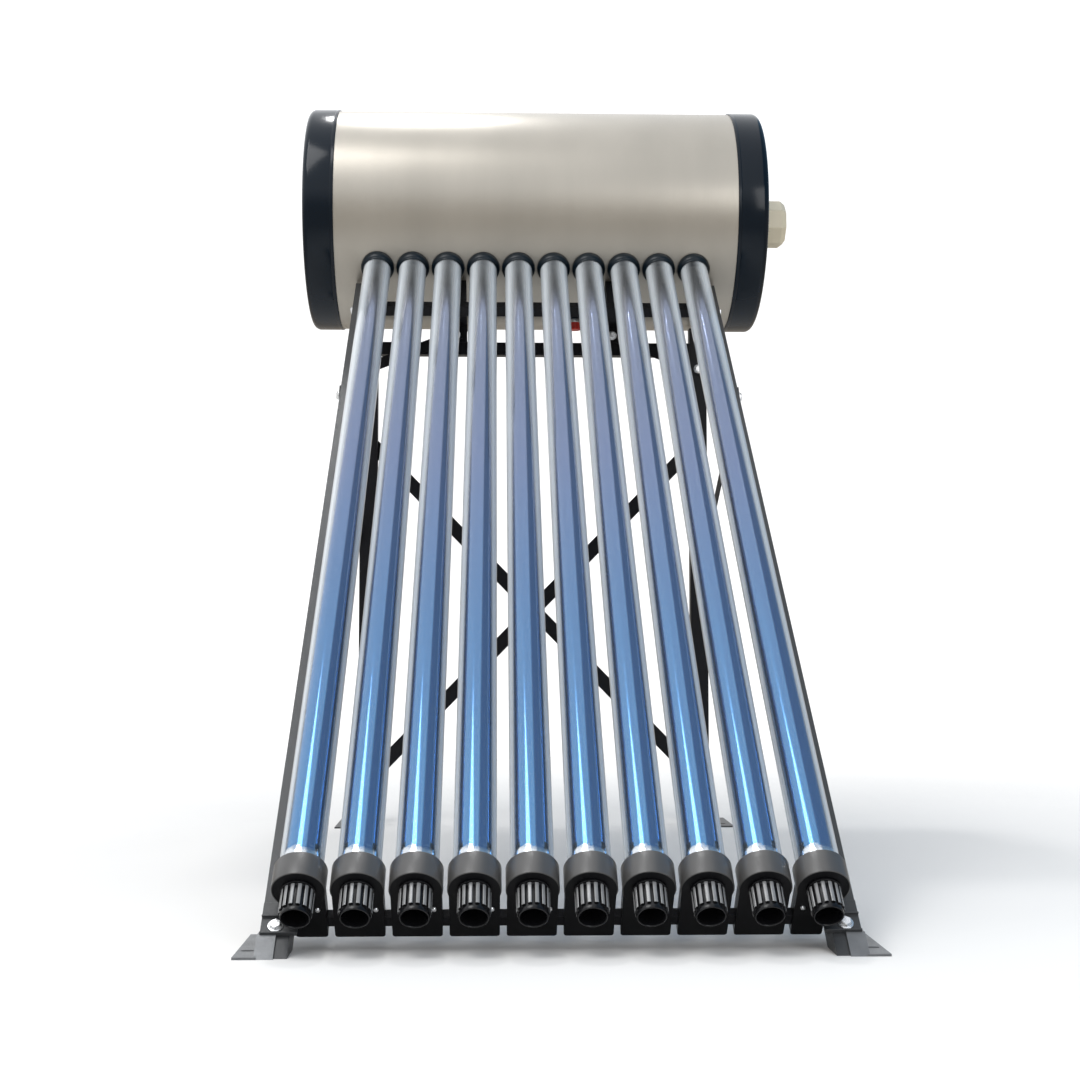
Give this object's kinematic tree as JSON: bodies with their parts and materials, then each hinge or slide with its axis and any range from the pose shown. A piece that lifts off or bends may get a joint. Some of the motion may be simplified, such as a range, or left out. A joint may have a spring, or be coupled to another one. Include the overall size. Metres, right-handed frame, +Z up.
{
  "type": "solar water heater",
  "caption": "Thermosyphon solar water heater: insulated horizontal tank fed by sloping evacuated glass tubes, screw-in tail cups and a braced steel stand.",
  "frame": {"origin": "centre of the bounding box at ground level, under the whole heater", "axes": "+X along the tank towards the heater port, +Y from the feet of the tubes to the tank, +Z up"},
  "size_m": [1.0702, 1.7622, 1.5857],
  "materials": {
    "tank_paint": "champagne silver paint, satin",
    "cover_enamel": "dark glossy enamel",
    "stainless_steel": "mill finish",
    "insulation_foam": "rigid polyurethane foam",
    "borosilicate_glass": "clear glass over a blue absorber coating",
    "rest_rubber": "moulded rubber",
    "tail_plastic": "charcoal moulded plastic",
    "powder_coat": "black powder coat",
    "galvanised_steel": "grey galvanised steel",
    "cap_plastic": "ivory moulded plastic",
    "plug_plastic": "red moulded plastic"
  },
  "bodies": {
    "heater": {"cradle_left": "powder_coat", "cradle_right": "powder_coat", "cross_brace_a": "powder_coat", "cross_brace_b": "powder_coat", "drain_plug": "plug_plastic", "end_cover_left": "cover_enamel", "end_cover_right": "cover_enamel", "evacuated_tube_01": "borosilicate_glass", "evacuated_tube_02": "borosilicate_glass", "evacuated_tube_03": "borosilicate_glass", "evacuated_tube_04": "borosilicate_glass", "evacuated_tube_05": "borosilicate_glass", "evacuated_tube_06": "borosilicate_glass", "evacuated_tube_07": "borosilicate_glass", "evacuated_tube_08": "borosilicate_glass", "evacuated_tube_09": "borosilicate_glass", "evacuated_tube_10": "borosilicate_glass", "front_bar": "powder_coat", "front_foot_left": "galvanised_steel", "front_foot_right": "galvanised_steel", "front_leg_left": "powder_coat", "front_leg_right": "powder_coat", "heater_cap": "cap_plastic", "inner_tank": "stainless_steel", "insulation_foam": "insulation_foam", "knee_brace_left": "powder_coat", "knee_brace_right": "powder_coat", "rear_bar": "powder_coat", "rear_foot_left": "galvanised_steel", "rear_foot_right": "galvanised_steel", "rear_leg_left": "powder_coat", "rear_leg_right": "powder_coat", "side_brace_left": "powder_coat", "side_brace_right": "powder_coat", "tail_rack": "tail_plastic", "tank_shell": "tank_paint"},
    "tube_rest_01": {"tube_rest_01": "rest_rubber"},
    "tail_cup_01": {"tail_cup_01": "tail_plastic"},
    "tube_rest_02": {"tube_rest_02": "rest_rubber"},
    "tail_cup_02": {"tail_cup_02": "tail_plastic"},
    "tube_rest_03": {"tube_rest_03": "rest_rubber"},
    "tail_cup_03": {"tail_cup_03": "tail_plastic"},
    "tube_rest_04": {"tube_rest_04": "rest_rubber"},
    "tail_cup_04": {"tail_cup_04": "tail_plastic"},
    "tube_rest_05": {"tube_rest_05": "rest_rubber"},
    "tail_cup_05": {"tail_cup_05": "tail_plastic"},
    "tube_rest_06": {"tube_rest_06": "rest_rubber"},
    "tail_cup_06": {"tail_cup_06": "tail_plastic"},
    "tube_rest_07": {"tube_rest_07": "rest_rubber"},
    "tail_cup_07": {"tail_cup_07": "tail_plastic"},
    "tube_rest_08": {"tube_rest_08": "rest_rubber"},
    "tail_cup_08": {"tail_cup_08": "tail_plastic"},
    "tube_rest_09": {"tube_rest_09": "rest_rubber"},
    "tail_cup_09": {"tail_cup_09": "tail_plastic"},
    "tube_rest_10": {"tube_rest_10": "rest_rubber"},
    "tail_cup_10": {"tail_cup_10": "tail_plastic"}
  },
  "joints": [
    {"name": "tube_rest_01_slide", "type": "slide", "parent": "heater", "child": "tube_rest_01", "axis": [0, -0.7547, -0.6561], "range_m": [0, 0.012]},
    {"name": "tail_cup_01_screw", "type": "hinge", "parent": "tube_rest_01", "child": "tail_cup_01", "pos_m": [-0.36965, -0.8444, 0.06996], "axis": [0, -0.7547, -0.6561], "range_deg": [0, 1080]},
    {"name": "tube_rest_02_slide", "type": "slide", "parent": "heater", "child": "tube_rest_02", "axis": [0, -0.7547, -0.6561], "range_m": [0, 0.012]},
    {"name": "tail_cup_02_screw", "type": "hinge", "parent": "tube_rest_02", "child": "tail_cup_02", "pos_m": [-0.29465, -0.8444, 0.06996], "axis": [0, -0.7547, -0.6561], "range_deg": [0, 1080]},
    {"name": "tube_rest_03_slide", "type": "slide", "parent": "heater", "child": "tube_rest_03", "axis": [0, -0.7547, -0.6561], "range_m": [0, 0.012]},
    {"name": "tail_cup_03_screw", "type": "hinge", "parent": "tube_rest_03", "child": "tail_cup_03", "pos_m": [-0.21965, -0.8444, 0.06996], "axis": [0, -0.7547, -0.6561], "range_deg": [0, 1080]},
    {"name": "tube_rest_04_slide", "type": "slide", "parent": "heater", "child": "tube_rest_04", "axis": [0, -0.7547, -0.6561], "range_m": [0, 0.012]},
    {"name": "tail_cup_04_screw", "type": "hinge", "parent": "tube_rest_04", "child": "tail_cup_04", "pos_m": [-0.14465, -0.8444, 0.06996], "axis": [0, -0.7547, -0.6561], "range_deg": [0, 1080]},
    {"name": "tube_rest_05_slide", "type": "slide", "parent": "heater", "child": "tube_rest_05", "axis": [0, -0.7547, -0.6561], "range_m": [0, 0.012]},
    {"name": "tail_cup_05_screw", "type": "hinge", "parent": "tube_rest_05", "child": "tail_cup_05", "pos_m": [-0.06965, -0.8444, 0.06996], "axis": [0, -0.7547, -0.6561], "range_deg": [0, 1080]},
    {"name": "tube_rest_06_slide", "type": "slide", "parent": "heater", "child": "tube_rest_06", "axis": [0, -0.7547, -0.6561], "range_m": [0, 0.012]},
    {"name": "tail_cup_06_screw", "type": "hinge", "parent": "tube_rest_06", "child": "tail_cup_06", "pos_m": [0.00535, -0.8444, 0.06996], "axis": [0, -0.7547, -0.6561], "range_deg": [0, 1080]},
    {"name": "tube_rest_07_slide", "type": "slide", "parent": "heater", "child": "tube_rest_07", "axis": [0, -0.7547, -0.6561], "range_m": [0, 0.012]},
    {"name": "tail_cup_07_screw", "type": "hinge", "parent": "tube_rest_07", "child": "tail_cup_07", "pos_m": [0.08035, -0.8444, 0.06996], "axis": [0, -0.7547, -0.6561], "range_deg": [0, 1080]},
    {"name": "tube_rest_08_slide", "type": "slide", "parent": "heater", "child": "tube_rest_08", "axis": [0, -0.7547, -0.6561], "range_m": [0, 0.012]},
    {"name": "tail_cup_08_screw", "type": "hinge", "parent": "tube_rest_08", "child": "tail_cup_08", "pos_m": [0.15535, -0.8444, 0.06996], "axis": [0, -0.7547, -0.6561], "range_deg": [0, 1080]},
    {"name": "tube_rest_09_slide", "type": "slide", "parent": "heater", "child": "tube_rest_09", "axis": [0, -0.7547, -0.6561], "range_m": [0, 0.012]},
    {"name": "tail_cup_09_screw", "type": "hinge", "parent": "tube_rest_09", "child": "tail_cup_09", "pos_m": [0.23035, -0.8444, 0.06996], "axis": [0, -0.7547, -0.6561], "range_deg": [0, 1080]},
    {"name": "tube_rest_10_slide", "type": "slide", "parent": "heater", "child": "tube_rest_10", "axis": [0, -0.7547, -0.6561], "range_m": [0, 0.012]},
    {"name": "tail_cup_10_screw", "type": "hinge", "parent": "tube_rest_10", "child": "tail_cup_10", "pos_m": [0.30535, -0.8444, 0.06996], "axis": [0, -0.7547, -0.6561], "range_deg": [0, 1080]}
  ],
  "couplings": [
    {"joint": "tube_rest_01_slide", "follows": "tail_cup_01_screw", "m_per_rad": 0.00063662},
    {"joint": "tube_rest_02_slide", "follows": "tail_cup_02_screw", "m_per_rad": 0.00063662},
    {"joint": "tube_rest_03_slide", "follows": "tail_cup_03_screw", "m_per_rad": 0.00063662},
    {"joint": "tube_rest_04_slide", "follows": "tail_cup_04_screw", "m_per_rad": 0.00063662},
    {"joint": "tube_rest_05_slide", "follows": "tail_cup_05_screw", "m_per_rad": 0.00063662},
    {"joint": "tube_rest_06_slide", "follows": "tail_cup_06_screw", "m_per_rad": 0.00063662},
    {"joint": "tube_rest_07_slide", "follows": "tail_cup_07_screw", "m_per_rad": 0.00063662},
    {"joint": "tube_rest_08_slide", "follows": "tail_cup_08_screw", "m_per_rad": 0.00063662},
    {"joint": "tube_rest_09_slide", "follows": "tail_cup_09_screw", "m_per_rad": 0.00063662},
    {"joint": "tube_rest_10_slide", "follows": "tail_cup_10_screw", "m_per_rad": 0.00063662}
  ]
}
